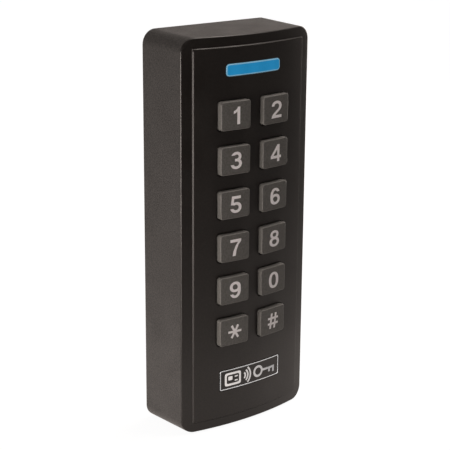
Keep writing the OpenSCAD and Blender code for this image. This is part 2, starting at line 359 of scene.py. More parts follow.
MAT = {
    "housing": textured_plastic("moulded_black_abs", (0.0035, 0.0032, 0.0030), (0.0285, 0.0260, 0.0245), 0.50, depth=4.6e-5, strength=1.0),
    # the housing's front rim: a smoother satin finish, and a darker copy of the housing plastic whose darker tone is
    # painted shade
    "rim": textured_plastic("satin_painted_shade_rim", (0.0085, 0.0072, 0.0064), (0.0125, 0.0106, 0.0096), 0.33, grain=7000.0, depth=5e-6, blotch=1500.0, strength=0.35),
    "panel": textured_plastic("satin_black_panel", (0.0080, 0.0066, 0.0058), (0.0125, 0.0103, 0.0092), 0.40, grain=7000.0, depth=5e-6, blotch=1500.0, strength=0.35),
    "key": textured_plastic("matte_grey_key", (0.084, 0.0835, 0.0795), (0.114, 0.1130, 0.1080), 0.54, grain=6500.0, depth=9e-6, blotch=1600.0, strength=0.5),
    # painted highlight: a lighter copy of the key plastic, for the rounded top edges and sides of the keys
    "key_edge_highlight": textured_plastic("painted_highlight_key_edge", (0.122, 0.1210, 0.1150), (0.160, 0.1585, 0.1510), 0.50, grain=6500.0, depth=9e-6, blotch=1600.0, strength=0.5),
    "plate": textured_plastic("moulded_wall_plate", (0.020, 0.018, 0.017), (0.032, 0.029, 0.027), 0.6, grain=4200.0, strength=0.7),
    "ink": printed_ink("legend_ink", (0.95, 0.935, 0.96)),
    "silver": metal("silver_print", (0.86, 0.93, 0.99), 0.28, depth=2e-6),
    "name": textured_plastic("nameplate_black", (0.006, 0.0055, 0.0055), (0.010, 0.0092, 0.009), 0.33, grain=7000.0, depth=3e-6, strength=0.3),
    # painted highlight: the foil print's colour is brighter at the left and dimmer at the right
    "chrome": chrome_painted_falloff("painted_shine_foil", (0.93, 0.97, 1.0), (0.44, 0.47, 0.50), -0.008, 0.012, 0.26),
    "steel": metal("zinc_plated_steel", (0.62, 0.63, 0.66), 0.32),
    "blue": light_window("status_blue", (0.0105, 0.192, 0.405), (0.0150, 0.216, 0.455), 0.60),
    "cyan": light_window("status_edge", (0.13, 0.31, 0.44), (0.17, 0.36, 0.50), 0.60),
}


def simple(name, dark, light, rough, scale=900.0, metallic=0.0, alpha=None, spec=0.5, coat=0.0, depth=1e-5):
    m, nt, b = node_material(name)
    v = coords(nt)
    n = noise(nt, v, scale, 4.0, 0.6)
    nt.links.new(ramp(nt, n, [(0.3, dark), (0.7, light)]), b.inputs["Base Color"])
    nt.links.new(remap(nt, n, rough - 0.05, rough + 0.07, 0.3, 0.7), b.inputs["Roughness"])
    b.inputs["Metallic"].default_value = metallic
    b.inputs["Specular IOR Level"].default_value = spec
    b.inputs["Coat Weight"].default_value = coat
    if alpha is not None:
        b.inputs["Transmission Weight"].default_value = alpha
        b.inputs["IOR"].default_value = 1.49
    bump(nt, [(noise(nt, v, scale * 3, 3.0), depth, 0.4)], b)
    return m


def board_material():
    """Solder mask over copper tracks, with a lighter weave of glass cloth showing."""
    m, nt, b = node_material("green_solder_mask")
    v = coords(nt)
    w = nt.nodes.new("ShaderNodeTexBrick")
    w.inputs["Scale"].default_value = 260.0
    w.inputs["Mortar Size"].default_value = 0.06
    w.inputs["Color1"].default_value = (0.012, 0.10, 0.035, 1)
    w.inputs["Color2"].default_value = (0.016, 0.13, 0.045, 1)
    w.inputs["Mortar"].default_value = (0.03, 0.19, 0.06, 1)
    mp = nt.nodes.new("ShaderNodeMapping")
    mp.inputs["Rotation"].default_value = (math.radians(90), 0, 0)
    nt.links.new(v, mp.inputs["Vector"])
    nt.links.new(mp.outputs[0], w.inputs["Vector"])
    nt.links.new(w.outputs["Color"], b.inputs["Base Color"])
    n = noise(nt, v, 1500.0, 3.0)
    nt.links.new(remap(nt, n, 0.28, 0.42, 0.3, 0.7), b.inputs["Roughness"])
    bump(nt, [(w.outputs["Fac"], 2e-5, 0.4), (n, 6e-6, 0.4)], b)
    return m


def coil_material():
    """Fine enamelled wire laid side by side."""
    m, nt, b = node_material("enamelled_copper")
    v = coords(nt)
    w = nt.nodes.new("ShaderNodeTexWave")
    w.bands_direction = "Y"
    w.inputs["Scale"].default_value = 1400.0
    w.inputs["Distortion"].default_value = 1.5
    nt.links.new(v, w.inputs["Vector"])
    nt.links.new(ramp(nt, w.outputs["Fac"], [(0.0, (0.20, 0.06, 0.015)), (1.0, (0.62, 0.25, 0.09))]), b.inputs["Base Color"])
    b.inputs["Metallic"].default_value = 0.8
    nt.links.new(remap(nt, w.outputs["Fac"], 0.5, 0.3), b.inputs["Roughness"])
    bump(nt, [(w.outputs["Fac"], 8e-5, 0.6)], b)
    return m


INSIDE = {
    "panel_tape": simple("black_foam", (0.02, 0.02, 0.02), (0.045, 0.045, 0.045), 0.9, 3000.0, depth=6e-5),
    "light_guide": simple("clear_acrylic", (0.80, 0.86, 0.9), (0.9, 0.94, 0.97), 0.18, 500.0, alpha=0.7),
    "status_leds": simple("led_white_package", (0.70, 0.68, 0.52), (0.86, 0.84, 0.72), 0.4, 1200.0),
    "key_leds": simple("led_cream_package", (0.72, 0.70, 0.6), (0.84, 0.82, 0.74), 0.4, 1500.0),
    "dome_mat": simple("milky_silicone", (0.62, 0.62, 0.59), (0.74, 0.74, 0.70), 0.55, 800.0, depth=2e-5),
    "main_board": board_material(),
    "board_screws": MAT["steel"],
    "antenna_coil": coil_material(),
    "microcontroller": simple("moulding_compound_a", (0.010, 0.010, 0.011), (0.026, 0.026, 0.028), 0.62, 3800.0, depth=2e-5),
    "radio_chip": simple("moulding_compound_b", (0.012, 0.012, 0.013), (0.028, 0.028, 0.03), 0.6, 3600.0, depth=2e-5),
    "line_driver": simple("moulding_compound_c", (0.011, 0.011, 0.012), (0.027, 0.027, 0.029), 0.61, 3700.0, depth=2e-5),
    "crystal": metal("drawn_steel_can", (0.66, 0.67, 0.69), 0.28),
    "voltage_regulator": simple("moulding_compound_d", (0.012, 0.012, 0.012), (0.03, 0.03, 0.03), 0.6, 3600.0, depth=2e-5),
    "power_inductor": simple("pressed_ferrite", (0.018, 0.018, 0.02), (0.05, 0.05, 0.055), 0.7, 2600.0, depth=3e-5),
    "capacitors": metal("aluminium_can", (0.74, 0.75, 0.77), 0.30),
    "chip_resistors": simple("thick_film_black", (0.012, 0.012, 0.013), (0.03, 0.03, 0.032), 0.45, 3000.0),
    "buzzer": simple("buzzer_black", (0.010, 0.010, 0.010), (0.024, 0.024, 0.024), 0.5, 2500.0, depth=2e-5),
    "tamper_sensor": simple("sensor_black", (0.010, 0.010, 0.012), (0.022, 0.022, 0.026), 0.4, 2500.0),
    "terminal_block": simple("green_polyamide", (0.010, 0.13, 0.04), (0.016, 0.18, 0.06), 0.48, 1400.0, depth=2e-5),
    "terminal_screws": MAT["steel"],
}
for node_name, material in INSIDE.items():
    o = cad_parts[node_name]
    o.data.materials.clear()
    o.data.materials.append(material)

ROOT = "reader"


def finish_piece(o, body, slot, *nodes):
    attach(o, body)
    if nodes:
        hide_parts(*nodes)
    return o


# ---------------------------------------------------------------- housing
def outline(ds, de, rt, rb, nz=24, nc=10):
    """Outline of the housing from the front, inset ds at the sides and de at the ends, counter-clockwise from the
    left end of the bottom edge. The bottom and top edges have fixed stations so that the lock screw's hole fits in."""
    w, h = FX - ds, FZ - de
    xo = FX - max(R_BOT, R_TOP)
    st = [-xo + (xo - 5) * i / 13 for i in range(13)] + [-5 + 10 * i / 8 for i in range(8)] + [5 + (xo - 5) * i / 13 for i in range(14)]
    pts = []

    def edge(xs, half_out):
        s = []
        for x in xs:
            if abs(x) <= 5.0001:
                s.append(x)
            else:
                q = (abs(x) - 5) / (xo - 5)
                s.append(math.copysign(5 + (half_out - 5) * q, x))
        return s

    pts += [(x, -h) for x in edge(st, w - rb)]
    pts += [(w - rb + rb * math.sin(a), -h + rb - rb * math.cos(a)) for a in np.linspace(0, math.pi / 2, nc + 1)[1:]]
    pts += [(w, z) for z in np.linspace(-h + rb, h - rt, nz + 1)[1:]]
    pts += [(w - rt + rt * math.cos(a), h - rt + rt * math.sin(a)) for a in np.linspace(0, math.pi / 2, nc + 1)[1:]]
    pts += [(x, h) for x in edge(st[::-1], w - rt)[1:]]
    pts += [(-w + rt - rt * math.sin(a), h - rt + rt * math.cos(a)) for a in np.linspace(0, math.pi / 2, nc + 1)[1:]]
    pts += [(-w, z) for z in np.linspace(h - rt, -h + rb, nz + 1)[1:]]
    pts += [(-w + rb - rb * math.cos(a), -h + rb - rb * math.sin(a)) for a in np.linspace(0, math.pi / 2, nc + 1)[1:-1]]
    return np.array(pts)


def taper(pts, share=1.0):
    """Widens a ring towards the wall, where the housing is larger than at its front edge."""
    k = share * (1 + pts[:, 1] / SIDE)
    out = pts.copy()
    out[:, 0] *= 1 + DRAFT_S * k / FX
    out[:, 2] *= 1 + DRAFT_E * k / FZ
    return out


def make_housing():
    M = Mesh()
    rs, re = FX - PX - 0.02, FZ - PZ - 0.02
    rf = 0.5
    lip = 0.3
    loops = []

    def shell(d, y):
        return taper(lift(outline(d, d, max(R_TOP - d, 0.25), max(R_BOT - d, 0.25)), y))

    for a in np.linspace(0, math.pi / 2, 4):
        loops.append(shell(lip * (1 - math.sin(a)), -lip * (1 - math.cos(a))))
    ys = [-1.2, -2.2] + [-2.2 - 1.25 * i for i in range(1, 9)] + [-15, -18.5, -21.5]
    first_wall = len(loops) - 1
    for y in ys:
        loops.append(shell(0, y))
    rim_from = len(loops)
    loops.append(shell(0, lambda x: surf(x) + rf))
    for a in np.linspace(0, math.pi / 2, 6)[1:]:
        d = rf * (1 - math.cos(a))
        loops.append(shell(d, lambda x, a=a: surf(x) + rf * (1 - math.sin(a))))

    def rim(ds, de, y, r=None, share=0.0):
        m = (ds + de) / 2
        rt = max(R_TOP - m, 0.12) if r is None else r
        rb = max(R_BOT - m, 0.12) if r is None else r
        return taper(lift(outline(ds, de, rt, rb), y), share)

    e = 0.06
    for q in (0.3, 0.55, 0.8, 0.94):
        loops.append(rim(rf + (rs - rf) * q, rf + (re - rf) * q, at(0), share=1 - q))
    loops.append(rim(rs - e, re - e, at(0), 0.12))
    loops.append(rim(rs - e * 0.3, re - e * 0.3, lambda x: surf(x) + e * 0.3, 0.10))
    loops.append(rim(rs, re, lambda x: surf(x) + e, 0.10))
    ledge = -(PANEL_T + 0.3)
    rim_to = len(loops)
    loops.append(rim(rs, re, at(ledge), 0.10))
    loops.append(rim(rs + 1.5, re + 1.5, at(ledge), 1.2))
    loops.append(rim(rs + 3, re + 3, at(ledge), 2.0))
    loops.append(rim(rs + 3, re + 3, at(-3.2), 2.0))
    loops.append(rim(rs + 1.0, re + 1.0, at(-3.2), 2.0))
    loops.append(taper(lift(outline(WALL, WALL, R_TOP - WALL, R_BOT - WALL), at(-3.2))))
    for y in (-16, -10, -4, -0.6):
        loops.append(taper(lift(outline(WALL, WALL, R_TOP - WALL, R_BOT - WALL), y)))
    loops.append(taper(lift(outline(WALL - 0.25, WALL - 0.25, R_TOP - WALL + 0.25, R_BOT - WALL + 0.25), 0)))
    rings = [M.ring(l) for l in loops]
    # the bottom edge's stations between x = -5 and x = 5 are points 13 to 21
    hole = set(range(13, 21))
    row0 = first_wall + 2
    # the front rim rings, from the edge round to the panel ledge, take the satin plastic with its darker tone, painted
    # shade on the front
    for i in range(len(rings)):
        j = (i + 1) % len(rings)
        M.bridge(rings[i], rings[j], 1 if rim_from <= i < rim_to else 0, skip=hole if row0 <= i < row0 + 8 else ())
    # patch round the lock screw's counterbore, in the plane of the bottom wall
    cols = list(range(13, 22))
    outer = [rings[row0][c] for c in cols[:-1]] + [rings[row0 + k][21] for k in range(8)] + [rings[row0 + 8][c] for c in cols[:0:-1]] + [rings[row0 + k][13] for k in range(8, 0, -1)]
    rect = np.array([M.v[k] for k in outer])
    cy = LOCK_Y
    n = len(outer)
    a0 = math.radians(135)
    circ = [a0 - 2 * math.pi * k / n for k in range(n)]

    def floor(y):
        return -(HZ + DRAFT_E * y / SIDE)

    def circle(r, dz, level=None):
        return np.array([(r * math.cos(a), cy + r * math.sin(a), (floor(cy + r * math.sin(a)) if level is None else level) + dz) for a in circ])

    edge = circle(3.35, 0)
    seq = [outer] + [M.ring(rect * (1 - q) + edge * q) for q in (0.4, 0.75, 1.0)]
    base = floor(cy)
    seq += [M.ring(circle(3.2, 0.07)), M.ring(circle(3.1, 0.25)), M.ring(circle(3.1, 2.1, base)), M.ring(circle(1.7, 2.1, base))]
    for a, b in zip(seq, seq[1:]):
        M.bridge(a, b)
    M.cap(seq[-1])
    o = M.build("housing_shell", [MAT["housing"], MAT["rim"]], sharp=50)
    return finish_piece(o, ROOT, "housing_plastic", "front_housing")


make_housing()


# ---------------------------------------------------------------- plates with holes
def cell_plate(M, cells, xs, zs, depth, flip=False):
    """Fills the grid of xs by zs. cells maps (i0, i1, j0, j1) index ranges to a hole's outermost loop function."""
    taken = set()
    for (i0, i1, j0, j1) in cells:
        for i in range(i0, i1):
            for j in range(j0, j1):
                taken.add((i, j))
    idx = {}

    def vid(i, j):
        if (i, j) not in idx:
            y = depth(np.array([xs[i]]))[0] if callable(depth) else depth
            idx[(i, j)] = len(M.v)
            M.v.append((float(xs[i]), float(y), float(zs[j])))
        return idx[(i, j)]

    for i in range(len(xs) - 1):
        for j in range(len(zs) - 1):
            if (i, j) not in taken:
                M.f.append((vid(i, j), vid(i + 1, j), vid(i + 1, j + 1), vid(i, j + 1)))
                M.m.append(0)
    out = {}
    for key, (loop_fn, steps) in cells.items():
        i0, i1, j0, j1 = key
        rect = [(xs[i], zs[j0]) for i in range(i0, i1)] + [(xs[i1], zs[j]) for j in range(j0, j1)] + [(xs[i], zs[j1]) for i in range(i1, i0, -1)] + [(xs[i0], zs[j]) for j in range(j1, j0, -1)]
        rect = np.array(rect)
        inner = loop_fn(0)
        prev = M.ring(lift(rect, depth))
        for q in steps:
            ring = M.ring(lift(rect * (1 - q) + inner * q, depth))
            M.bridge(prev, ring)
            prev = ring
        out[key] = prev
    return out


def subdivide(lines, counts):
    out = [lines[0]]
    for a, b, n in zip(lines, lines[1:], counts):
        out += [a + (b - a) * k / n for k in range(1, n + 1)]
    return out


KEY_BOX = {k: box_mm("key_" + k) for k in KEYS}
KEY_AT = {k: ((b[0].x + b[1].x) / 2, (b[0].z + b[1].z) / 2) for k, b in KEY_BOX.items()}
FLANGE = 1.1
KEY_A = (KEY_BOX["1"][1].x - KEY_BOX["1"][0].x) / 2 - FLANGE
KEY_B = (KEY_BOX["1"][1].z - KEY_BOX["1"][0].z) / 2 - FLANGE
KEY_R = 1.1
GAP = 0.3
L_LO, L_HI = box_mm("status_lens")
LIGHT = ((L_HI.x + L_LO.x) / 2, (L_HI.z + L_LO.z) / 2, (L_HI.x - L_LO.x) / 2 - 1.2, (L_HI.z - L_LO.z) / 2 - 0.8)
N_LO, N_HI = box_mm("nameplate")
NAME = ((N_HI.x + N_LO.x) / 2, (N_HI.z + N_LO.z) / 2, (N_HI.x - N_LO.x) / 2, (N_HI.z - N_LO.z) / 2)
COL = KEY_AT["2"][0]
ROW_Z = [KEY_AT[k][1] for k in ("1", "3", "5", "7", "9", "star")]
PITCH = (ROW_Z[0] - ROW_Z[-1]) / 5


def make_fascia():
    M = Mesh()
    bev = 0.62 * PROUD
    fil = 0.12
    gx, gz = PX - bev - fil, PZ - bev - fil
    xl = [-gx, -2 * COL, 0, 2 * COL, gx]
    zl = [-gz, NAME[1] - 6, NAME[1] + 6, ROW_Z[5] - PITCH / 2, *[ROW_Z[k] + PITCH / 2 for k in range(5, -1, -1)], LIGHT[1] - 4.4, LIGHT[1] + 4.4, gz]
    nx = [8, 16, 16, 8]
    nz = [8, 12, 6, 16, 16, 16, 16, 16, 16, 4, 8, 4]
    xs, zs = subdivide(xl, nx), subdivide(zl, nz)
    ix = [0, 8, 24, 40, 48]
    jz = [0]
    for n in nz:
        jz.append(jz[-1] + n)
    fe = 0.22

    def hole(cx, cz, a, b, r, ni, nj, k=3):
        def loop(grow):
            return rr_loop(cx, cz, a + grow, b + grow, r + grow, even(ni), even(nj), k)
        return loop

    holes = {}
    for kx, k in enumerate(KEYS):
        row, col = divmod(kx, 2)
        cx, cz = KEY_AT[k]
        j = jz[8 - row]
        holes[(ix[1 + col], ix[2 + col], j, j + 16)] = hole(cx, cz, KEY_A + GAP, KEY_B + GAP, KEY_R + GAP, 16, 16)
    holes[(ix[1], ix[3], jz[10], jz[11])] = hole(LIGHT[0], LIGHT[1], LIGHT[2] + 0.06, LIGHT[3] + 0.06, 1.3, 32, 8, 2)
    holes[(ix[1], ix[3], jz[1], jz[2])] = hole(NAME[0], NAME[1], NAME[2] + 0.06, NAME[3] + 0.06, 0.5, 32, 12, 2)
    name_key = (ix[1], ix[3], jz[1], jz[2])
    top = {k: ((lambda f: (lambda g: f(fe)))(f), (0.3, 0.6, 0.85, 1.0)) for k, f in holes.items()}
    under = {k: ((lambda f: (lambda g: f(0)))(f), (0.4, 0.8, 1.0)) for k, f in holes.items() if k != name_key}
    ends = cell_plate(M, top, xs, zs, at(PROUD))
    back = cell_plate(M, under, xs, zs, at(-PANEL_T))
    for k, f in holes.items():
        prev = ends[k]
        for a in np.linspace(0, math.pi / 2, 5)[1:]:
            ring = M.ring(lift(f(fe * (1 - math.sin(a))), at(PROUD - fe * (1 - math.cos(a)))))
            M.bridge(prev, ring)
            prev = ring
        if k == name_key:
            ring = M.ring(lift(f(0), at(PROUD - 0.55)))
            M.bridge(prev, ring)
            prev = ring
            for q in (0.5, 0.12):
                lp = f(0)
                c = np.array([[NAME[0], NAME[1]]])
                ring = M.ring(lift(c + (lp - c) * np.array([[1, q]]), at(PROUD - 0.55)))
                M.bridge(prev, ring)
                prev = ring
            half = len(prev) // 2
            # close the middle with a strip of quads across the short way
            n_i, n_j = 32, 12
            lower = prev[: n_i + 1]
            upper = prev[n_i + n_j : 2 * n_i + n_j + 1][::-1]
            M.grid([lower, upper])
            right = prev[n_i : n_i + n_j + 1]
            left = prev[2 * n_i + n_j :] + [prev[0]]
            M.cap(right)
            M.cap(left)
        else:
            M.bridge(prev, back[k])
    # edge of the panel: small round, then the bevel down to the rim, then the side
    def border(dx, dz, off):
        pts = [(x, zs[0]) for x in xs[:-1]] + [(xs[-1], z) for z in zs[:-1]] + [(x, zs[-1]) for x in xs[:0:-1]] + [(xs[0], z) for z in zs[:0:-1]]
        out = []
        for x, z in pts:
            X = x + (dx if x >= xs[-1] - 1e-9 else -dx if x <= xs[0] + 1e-9 else 0)
            Z = z + (dz if z >= zs[-1] - 1e-9 else -dz if z <= zs[0] + 1e-9 else 0)
            out.append((X, Z))
        return M.ring(lift(np.array(out), at(off)))

    seq = [border(0, 0, PROUD)]
    seq.append(border(fil * 0.55, fil * 0.55, PROUD - fil * 0.12))
    seq.append(border(fil * 1.05, fil * 1.05, PROUD - fil * 0.42))
    seq.append(border(fil + bev - 0.03, fil + bev - 0.03, 0.0))
    seq.append(border(fil + bev, fil + bev, -0.04))
    seq.append(border(fil + bev, fil + bev, -PANEL_T))
    seq.append(border(0, 0, -PANEL_T))
    for a, b in zip(seq, seq[1:]):
        M.bridge(a, b)
    o = M.build("panel_fascia", [MAT["panel"]], sharp=50)
    return finish_piece(o, ROOT, "panel_plastic", "front_panel")


make_fascia()


# ---------------------------------------------------------------- keys
def make_key(k):
    M = Mesh()
    cx, cz = KEY_AT[k]
    lo, hi = KEY_BOX[k]
    proud = 2.45
    rf = 0.42
    t = even(16)

    def loop(d, off, r=None):
        return M.ring(lift(rr_loop(cx, cz, KEY_A - d, KEY_B - d, max(KEY_R - d, 0.25) if r is None else r, t, t), at(off)))

    seq = []
    # a slightly crowned top: the middle at full height, 0.06 lower near the edge
    for q in (0.15, 0.4, 0.62, 0.8):
        a, b = (KEY_A - rf) * q, (KEY_B - rf) * q
        seq.append(M.ring(lift(rr_loop(cx, cz, a, b, 0.7 * q, t, t), at(proud - 0.06 * q**4))))
    inner = seq[0]
    for a in np.linspace(0, math.pi / 2, 7):
        seq.append(loop(rf * (1 - math.sin(a)), proud - 0.06 - rf * (1 - math.cos(a))))
    seq.append(loop(0, 0.5))
    seq.append(loop(0, -PANEL_T - 0.35))
    for d, off in ((-0.95, -PANEL_T - 0.35), (-1.1, -PANEL_T - 0.5), (-1.1, -PANEL_T - 1.3), (-0.95, -PANEL_T - 1.45)):
        seq.append(loop(d, off, KEY_R + 0.6))
    base = surf(np.array([cx]), -PANEL_T - 1.45)[0]
    n = 64
    circ = [math.radians(225) + 2 * math.pi * i / n for i in range(n)]

    def circle(r, y):
        return M.ring([(cx + r * math.cos(a), y, cz + r * math.sin(a)) for a in circ])

    seq.append(circle(2.6, base - 0.0))
    seq.append(circle(2.2, base + 0.4))
    seq.append(circle(2.2, hi.y - 0.3))
    seq.append(circle(1.9, hi.y))
    # the outer top-edge round and the sides above the panel take the lighter key plastic, a painted highlight
    for n_seq, (a, b) in enumerate(zip(seq, seq[1:])):
        M.bridge(a, b, 1 if 5 <= n_seq < 11 else 0)
    M.cap(inner)
    M.cap(seq[-1])
    o = M.build("cap_" + k, [MAT["key"], MAT["key_edge_highlight"]], sharp=60)
    return finish_piece(o, "key_" + k, "key_plastic", "key_" + k)


for key_name in KEYS:
    make_key(key_name)


# ---------------------------------------------------------------- glyphs
# Shapes are distance-like fields on a small grid; the zero line becomes the outline. Units are millimetres.
class Field:
    def __init__(self, w, h, step=0.035):
        self.x, self.z = np.meshgrid(np.arange(-w, w + step, step), np.arange(-h, h + step, step), indexing="ij")
        self.d = np.full(self.x.shape, 9.0)

    def bar(self, x0, z0, x1, z1, t, cap=0.0):
        """A straight stroke t wide from one point to the other, with square ends, cap longer at each end."""
        L = math.hypot(x1 - x0, z1 - z0)
        ux, uz = (x1 - x0) / L, (z1 - z0) / L
        mx, mz = (x0 + x1) / 2, (z0 + z1) / 2
        a = np.abs((self.x - mx) * ux + (self.z - mz) * uz) - (L / 2 + cap)
        b = np.abs(-(self.x - mx) * uz + (self.z - mz) * ux) - t / 2
        return np.maximum(a, b)

    def ellipse(self, cx, cz, a, b):
        q = np.sqrt(((self.x - cx) / a) ** 2 + ((self.z - cz) / b) ** 2) + 1e-9
        g = np.sqrt(((self.x - cx) / a**2) ** 2 + ((self.z - cz) / b**2) ** 2) + 1e-9
        return np.clip((q - 1) * q / g, -3, 9)

    def superellipse(self, cx, cz, a, b, p):
        q = (np.abs((self.x - cx) / a) ** p + np.abs((self.z - cz) / b) ** p + 1e-12) ** (1 / p)
        return (q - 1) * min(a, b)

    def oval(self, cx, cz, a, b, t, tz=None, p=2.0):
        """A closed oval stroke: t wide at the sides and tz at the top and bottom."""
        tz = t if tz is None else tz
        return np.maximum(self.superellipse(cx, cz, a, b, p), -self.superellipse(cx, cz, a - t, b - tz, p))

    def half(self, x0, z0, nx, nz):
        """Everything on the far side of a line through a point, away from the direction given."""
        L = math.hypot(nx, nz)
        return ((self.x - x0) * nx + (self.z - z0) * nz) / L

    def poly(self, pts):
        """A convex or concave polygon, as a signed distance."""
        pts = np.array(pts, float)
        best = np.full(self.x.shape, 1e9)
        inside = np.zeros(self.x.shape, bool)
        n = len(pts)
        for i in range(n):
            a, b = pts[i], pts[(i + 1) % n]
            e = b - a
            wx, wz = self.x - a[0], self.z - a[1]
            t = np.clip((wx * e[0] + wz * e[1]) / (e @ e), 0, 1)
            best = np.minimum(best, (wx - e[0] * t) ** 2 + (wz - e[1] * t) ** 2)
            cond = (a[1] > self.z) != (b[1] > self.z)
            with np.errstate(divide="ignore", invalid="ignore"):
                xi = a[0] + (self.z - a[1]) / (b[1] - a[1]) * e[0]
            inside ^= cond & (self.x < xi)
        return np.where(inside, -1, 1) * np.sqrt(best)

    def add(self, *shapes):
        for s in shapes:
            self.d = np.minimum(self.d, s)
        return self

    def outlines(self, simplify=0.012):
        """Closed outlines of the zero level by marching squares, thinned where they are straight."""
        d, X, Z = self.d, self.x, self.z
        segs = {}
        nx, nz = d.shape

        def cut(i0, j0, i1, j1):
            a, b = d[i0, j0], d[i1, j1]
            t = a / (a - b)
            return (float(X[i0, j0] + t * (X[i1, j1] - X[i0, j0])), float(Z[i0, j0] + t * (Z[i1, j1] - Z[i0, j0])))

        inside = d < 0
        mixed = np.argwhere((inside[:-1, :-1].astype(int) + inside[1:, :-1] + inside[1:, 1:] + inside[:-1, 1:]) % 4 != 0)
        for i, j in mixed:
            c = [(i, j), (i + 1, j), (i + 1, j + 1), (i, j + 1)]
            s = [inside[p] for p in c]
            pts = []
            for k in range(4):
                a, b = c[k], c[(k + 1) % 4]
                if s[k] != s[(k + 1) % 4]:
                    lo, hi = (a, b) if a < b else (b, a)
                    pts.append(((lo, hi), s[k]))
            # walk with the inside on the left: start on edges that leave the inside
            if len(pts) == 2:
                (e0, s0), (e1, s1) = pts
                if s0:
                    segs[e0] = e1
                else:
                    segs[e1] = e0
            else:
                for q in range(4):
                    e0, s0 = pts[q]
                    e1, s1 = pts[(q + 1) % 4]
                    if s0:
                        segs[e0] = e1
        loops = []
        left = dict(segs)
        while left:
            start = next(iter(left))
            e, loop = start, []
            while e in left:
                loop.append(cut(*e[0], *e[1]))
                e = left.pop(e)
            if len(loop) > 8:
                loops.append(np.array(loop))
        return [self.thin(l, simplify) for l in loops]

    @staticmethod
    def thin(loop, tol):
        """Drops points that lie within tol of the line through their neighbours kept."""
        n = len(loop)
        far = int(np.argmax(((loop - loop[0]) ** 2).sum(1)))

        def dp(a, b):
            if b <= a + 1:
                return []
            p, q = loop[a], loop[b % n]
            e = q - p
            L = np.hypot(*e) + 1e-12
            seg = loop[a + 1 : b]
            dist = np.abs((seg[:, 0] - p[0]) * e[1] - (seg[:, 1] - p[1]) * e[0]) / L
            k = int(np.argmax(dist))
            if dist[k] < tol:
                return []
            m = a + 1 + k
            return dp(a, m) + [m] + dp(m, b)

        keep = [0] + dp(0, far) + [far] + dp(far, n)
        return loop[keep]


def glyph_field(ch):
    """Generic bold numerals and signs, 6.7 mm tall and centred on the origin."""
    F = Field(3.4, 4.0)
    h = 3.35
    if ch == "1":
        F.add(F.poly([(1.40, -h), (1.40, h), (0.44, h), (-0.08, 2.42), (-1.30, 1.78), (-1.30, 0.70), (-0.50, 1.05), (0.20, 1.55), (0.20, -h)]))
    elif ch == "2":
        bowl = F.oval(0.02, 1.28, 2.32, 2.07, 1.2, 1.08, 2.15)
        upper = np.maximum(bowl, -F.half(0, 1.28, 0, 1))
        right = np.maximum(bowl, np.maximum(-F.half(0.62, 0, 1, 0), -F.half(0, 0.72, 0, 1)))
        F.add(upper, right)
        F.add(F.poly([(2.31, 1.02), (1.10, 1.02), (0.98, 0.62), (0.62, 0.16), (-1.28, -1.42), (-2.05, -2.3), (-2.38, -h), (2.36, -h), (2.36, -h + 1.12), (-0.62, -h + 1.12), (-0.12, -1.72), (1.58, -0.36), (2.12, 0.34)]))
    elif ch == "3":
        top = F.oval(-0.02, 1.49, 2.12, 1.86, 1.18, 1.06, 2.1)
        low = F.oval(-0.02, -1.33, 2.34, 2.02, 1.22, 1.06, 2.1)
        top = np.maximum(top, np.minimum(-F.half(-0.25, 0, 1, 0), -F.half(0, 2.02, 0, 1)))
        low = np.maximum(low, np.minimum(-F.half(-0.25, 0, 1, 0), F.half(0, -1.62, 0, 1)))
        top = np.maximum(top, -np.maximum(F.half(-0.25, 0, 1, 0), F.half(0, 2.02, 0, 1)))
        low = np.maximum(low, -np.maximum(F.half(-0.25, 0, 1, 0), -F.half(0, -1.62, 0, 1)))
        F.add(top, low, F.bar(-0.62, 0.16, 0.35, 0.16, 1.06))
    elif ch == "4":
        stem = F.poly([(0.66, -h), (1.82, -h), (1.82, h), (0.66, h)])
        diag = F.poly([(-2.55, -1.0), (0.70, h), (1.82, h), (0.80, 1.55), (-1.25, -0.92), (-2.55, -0.92)])
        barr = F.poly([(-2.55, -2.04), (2.62, -2.04), (2.62, -0.96), (-2.55, -0.96)])
        F.add(stem, diag, barr)
    elif ch == "5":
        low = F.oval(-0.02, -1.22, 2.36, 2.13, 1.22, 1.08, 2.15)
        cutout = np.maximum(F.half(-0.75, 0, 1, 0), -F.half(0, -1.62, 0, 1))
        low = np.maximum(low, -cutout)
        F.add(low)
        F.add(F.poly([(-1.72, h), (2.02, h), (2.02, h - 1.14), (-0.82, h - 1.14), (-1.00, 0.70), (-0.66, 0.82), (-0.66, -0.42), (-1.12, -0.24), (-2.22, -0.04)]))
    elif ch in "69":
        s = 1 if ch == "6" else -1
        G = Field(3.4, 4.0)
        low = G.oval(0.04, -1.22, 2.30, 2.13, 1.18, 1.05, 2.15)
        body = G.oval(0.04, 0.0, 2.36, h, 1.2, 1.05, 2.25)
        left = np.maximum(body, G.half(0.3, 0, 1, 0))
        hook = np.maximum(body, -G.half(0, 1.72, 0, 1))
        d = np.minimum(np.minimum(low, left), hook)
        F.d = d if s > 0 else d[::-1, ::-1]
    elif ch == "7":
        F.add(F.poly([(-2.28, h), (2.36, h), (2.36, h - 0.98), (1.15, 0.95), (0.28, -1.35), (0.02, -h), (-1.24, -h), (-0.98, -1.5), (-0.05, 0.72), (1.05, h - 1.16), (-2.28, h - 1.16)]))
    elif ch == "8":
        F.add(F.oval(0, 1.58, 2.02, 1.77, 1.12, 0.98, 2.1), F.oval(0, -1.36, 2.36, 1.99, 1.2, 1.02, 2.1))
    elif ch == "0":
        F.add(F.oval(0, 0, 2.40, h, 1.26, 1.05, 2.3))
    elif ch == "star":
        for k in range(3):
            a = math.radians(60 * k)
            F.add(F.bar(-2.86 * math.cos(a), -2.98 * math.sin(a), 2.86 * math.cos(a), 2.98 * math.sin(a), 0.92))
    elif ch == "hash":
        for x in (-1.05, 1.05):
            F.add(F.bar(x - 0.40, -3.2, x + 0.40, 3.2, 0.90))
        for z in (-1.15, 1.15):
            F.add(F.bar(-2.62, z, 2.62, z, 0.92))
    return F


